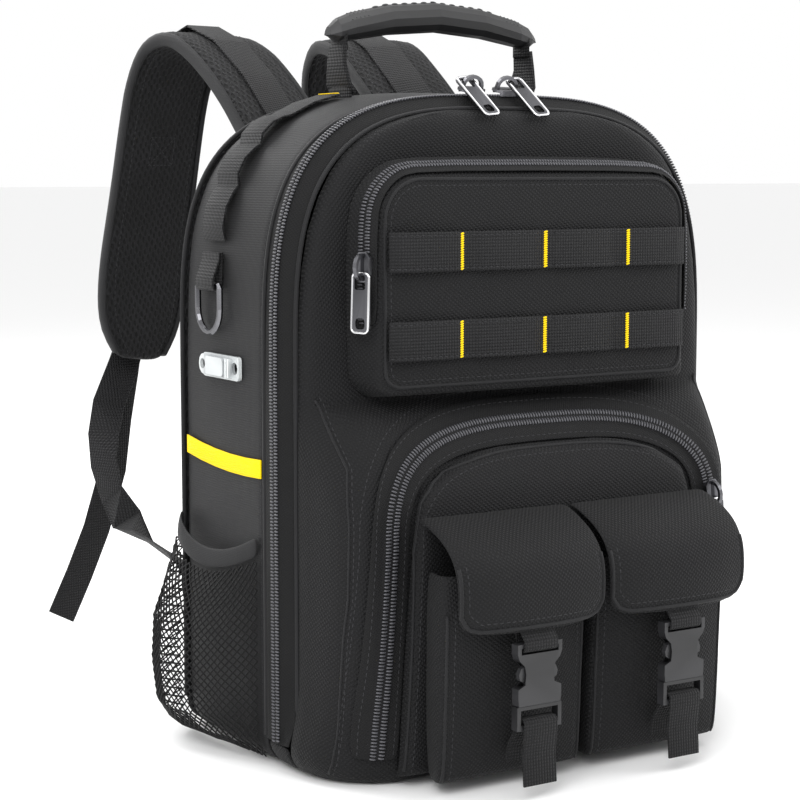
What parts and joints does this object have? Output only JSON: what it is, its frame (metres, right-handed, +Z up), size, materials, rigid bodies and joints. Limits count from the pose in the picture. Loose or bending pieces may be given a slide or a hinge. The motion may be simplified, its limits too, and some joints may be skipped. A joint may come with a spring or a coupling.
{
  "type": "tool backpack",
  "caption": "Tall black tool backpack with a wrap-round zip, webbing-faced upper pocket, arched lower pocket with two buckled pouches, side nets and padded straps.",
  "frame": {"origin": "bottom centre of the bounding box, on the floor that the bag stands on", "axes": "+X to the right seen from the front, +Y from the front towards the shoulder straps, +Z up"},
  "size_m": [0.4216, 0.493, 0.51],
  "materials": {
    "side_cloth": "matt",
    "front_cloth": "matt",
    "webbing": "matt",
    "zip": "satin",
    "net": "matt",
    "yellow_cloth": "matt",
    "black_plastic": "satin",
    "grip_rubber": "matt",
    "dark_metal": "satin",
    "port_plastic": "gloss",
    "pad_cloth": "matt"
  },
  "bodies": {
    "bag": {"rear_gusset": "side_cloth", "back_panel": "pad_cloth", "strap_pad_left": "pad_cloth", "strap_pad_right": "pad_cloth", "front_shell": "front_cloth", "lower_door": "front_cloth", "upper_pocket": "front_cloth", "pouch_left": "front_cloth", "pouch_right": "front_cloth", "flap_left": "front_cloth", "flap_right": "front_cloth", "main_zip": "zip", "lower_zip": "zip", "upper_zip": "zip", "base_strip": "webbing", "load_row_upper": "webbing", "load_row_lower": "webbing", "flap_web_left": "webbing", "flap_web_right": "webbing", "pouch_web_left": "webbing", "pouch_web_right": "webbing", "side_web_left": "webbing", "side_web_right": "webbing", "ring_tab_left": "webbing", "ring_tab_right": "webbing", "grip_leg_left": "webbing", "grip_leg_right": "webbing", "strap_web_left": "webbing", "strap_web_right": "webbing", "strap_tail_left": "webbing", "strap_tail_right": "webbing", "net_rim_left": "webbing", "net_rim_right": "webbing", "net_pocket_left": "net", "net_pocket_right": "net", "side_band_left": "yellow_cloth", "side_band_right": "yellow_cloth", "buckle_socket_left": "black_plastic", "buckle_socket_right": "black_plastic", "buckle_plug_left": "black_plastic", "buckle_plug_right": "black_plastic", "strap_lock_left": "black_plastic", "strap_lock_right": "black_plastic", "grip": "grip_rubber", "slider_main_left": "dark_metal", "slider_main_right": "dark_metal", "slider_upper": "dark_metal", "slider_lower": "dark_metal", "charging_port": "port_plastic"},
    "pull_main_left": {"pull_main_left": "dark_metal"},
    "pull_main_right": {"pull_main_right": "dark_metal"},
    "pull_upper": {"pull_upper": "dark_metal"},
    "pull_lower": {"pull_lower": "dark_metal"},
    "ring_left": {"ring_left": "dark_metal"},
    "ring_right": {"ring_right": "dark_metal"}
  },
  "joints": [
    {"name": "pull_main_left_lift", "type": "hinge", "parent": "bag", "child": "pull_main_left", "pos_m": [-0.02837, -0.11031, 0.45346], "axis": [1, 0, 0], "range_deg": [-25, 0]},
    {"name": "pull_main_right_lift", "type": "hinge", "parent": "bag", "child": "pull_main_right", "pos_m": [0.01239, -0.11031, 0.45346], "axis": [1, 0, 0], "range_deg": [-15, 0]},
    {"name": "pull_upper_lift", "type": "hinge", "parent": "bag", "child": "pull_upper", "pos_m": [-0.13512, -0.15537, 0.328], "axis": [0.4207, -0.9072, 0], "range_deg": [-120, 0]},
    {"name": "pull_lower_lift", "type": "hinge", "parent": "bag", "child": "pull_lower", "pos_m": [0.1299, -0.1902, 0.16652], "axis": [0.9959, 0, 0.0904], "range_deg": [-120, 0]},
    {"name": "ring_left_swing", "type": "hinge", "parent": "bag", "child": "ring_left", "pos_m": [-0.1759, -0.0249, 0.316], "axis": [0, 1, 0], "range_deg": [0, 150]},
    {"name": "ring_right_swing", "type": "hinge", "parent": "bag", "child": "ring_right", "pos_m": [0.1759, -0.0249, 0.316], "axis": [0, -1, 0], "range_deg": [0, 150]}
  ]
}
